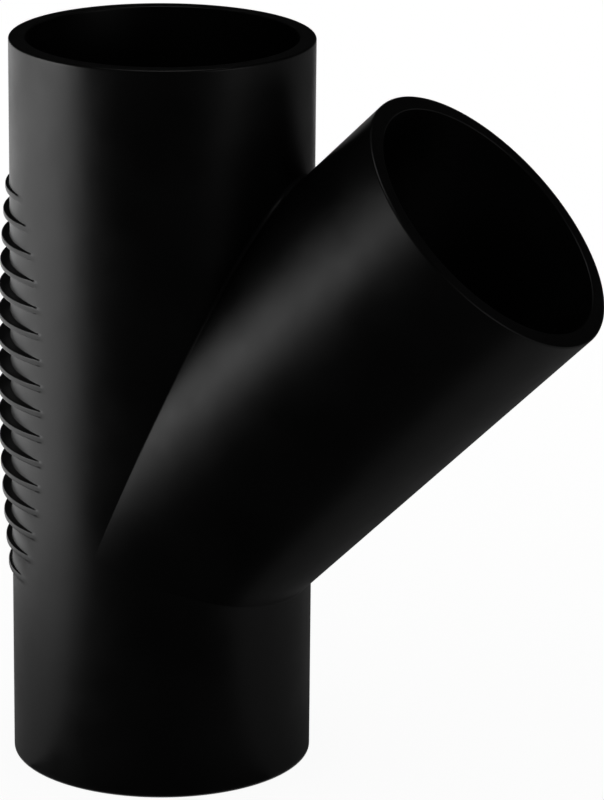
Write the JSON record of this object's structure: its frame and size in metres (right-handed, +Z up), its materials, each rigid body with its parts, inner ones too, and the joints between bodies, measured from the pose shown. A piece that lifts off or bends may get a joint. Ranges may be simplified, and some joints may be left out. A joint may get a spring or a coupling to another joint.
{
  "type": "lateral wye fitting",
  "caption": "Moulded plastic drainage wye: a straight run with an equal branch leaving it at 45 degrees, plain ends, and thin stiffening fins behind the junction.",
  "frame": {"origin": "centre of the run's lower end, on the run's axis and in the plane of that end", "axes": "+Z up the run's axis from the lower end to the upper one; +X towards the branch, whose axis lies in the XZ plane and leaves the run's axis 90 mm up at 45 degrees; the XZ plane is the plane of symmetry"},
  "size_m": [0.2273, 0.11, 0.27],
  "materials": {
    "black_polyethylene": "moulded high-density polyethylene, black, with a soft satin sheen"
  },
  "bodies": {
    "root": {"wye_body": "black_polyethylene"}
  },
  "joints": []
}
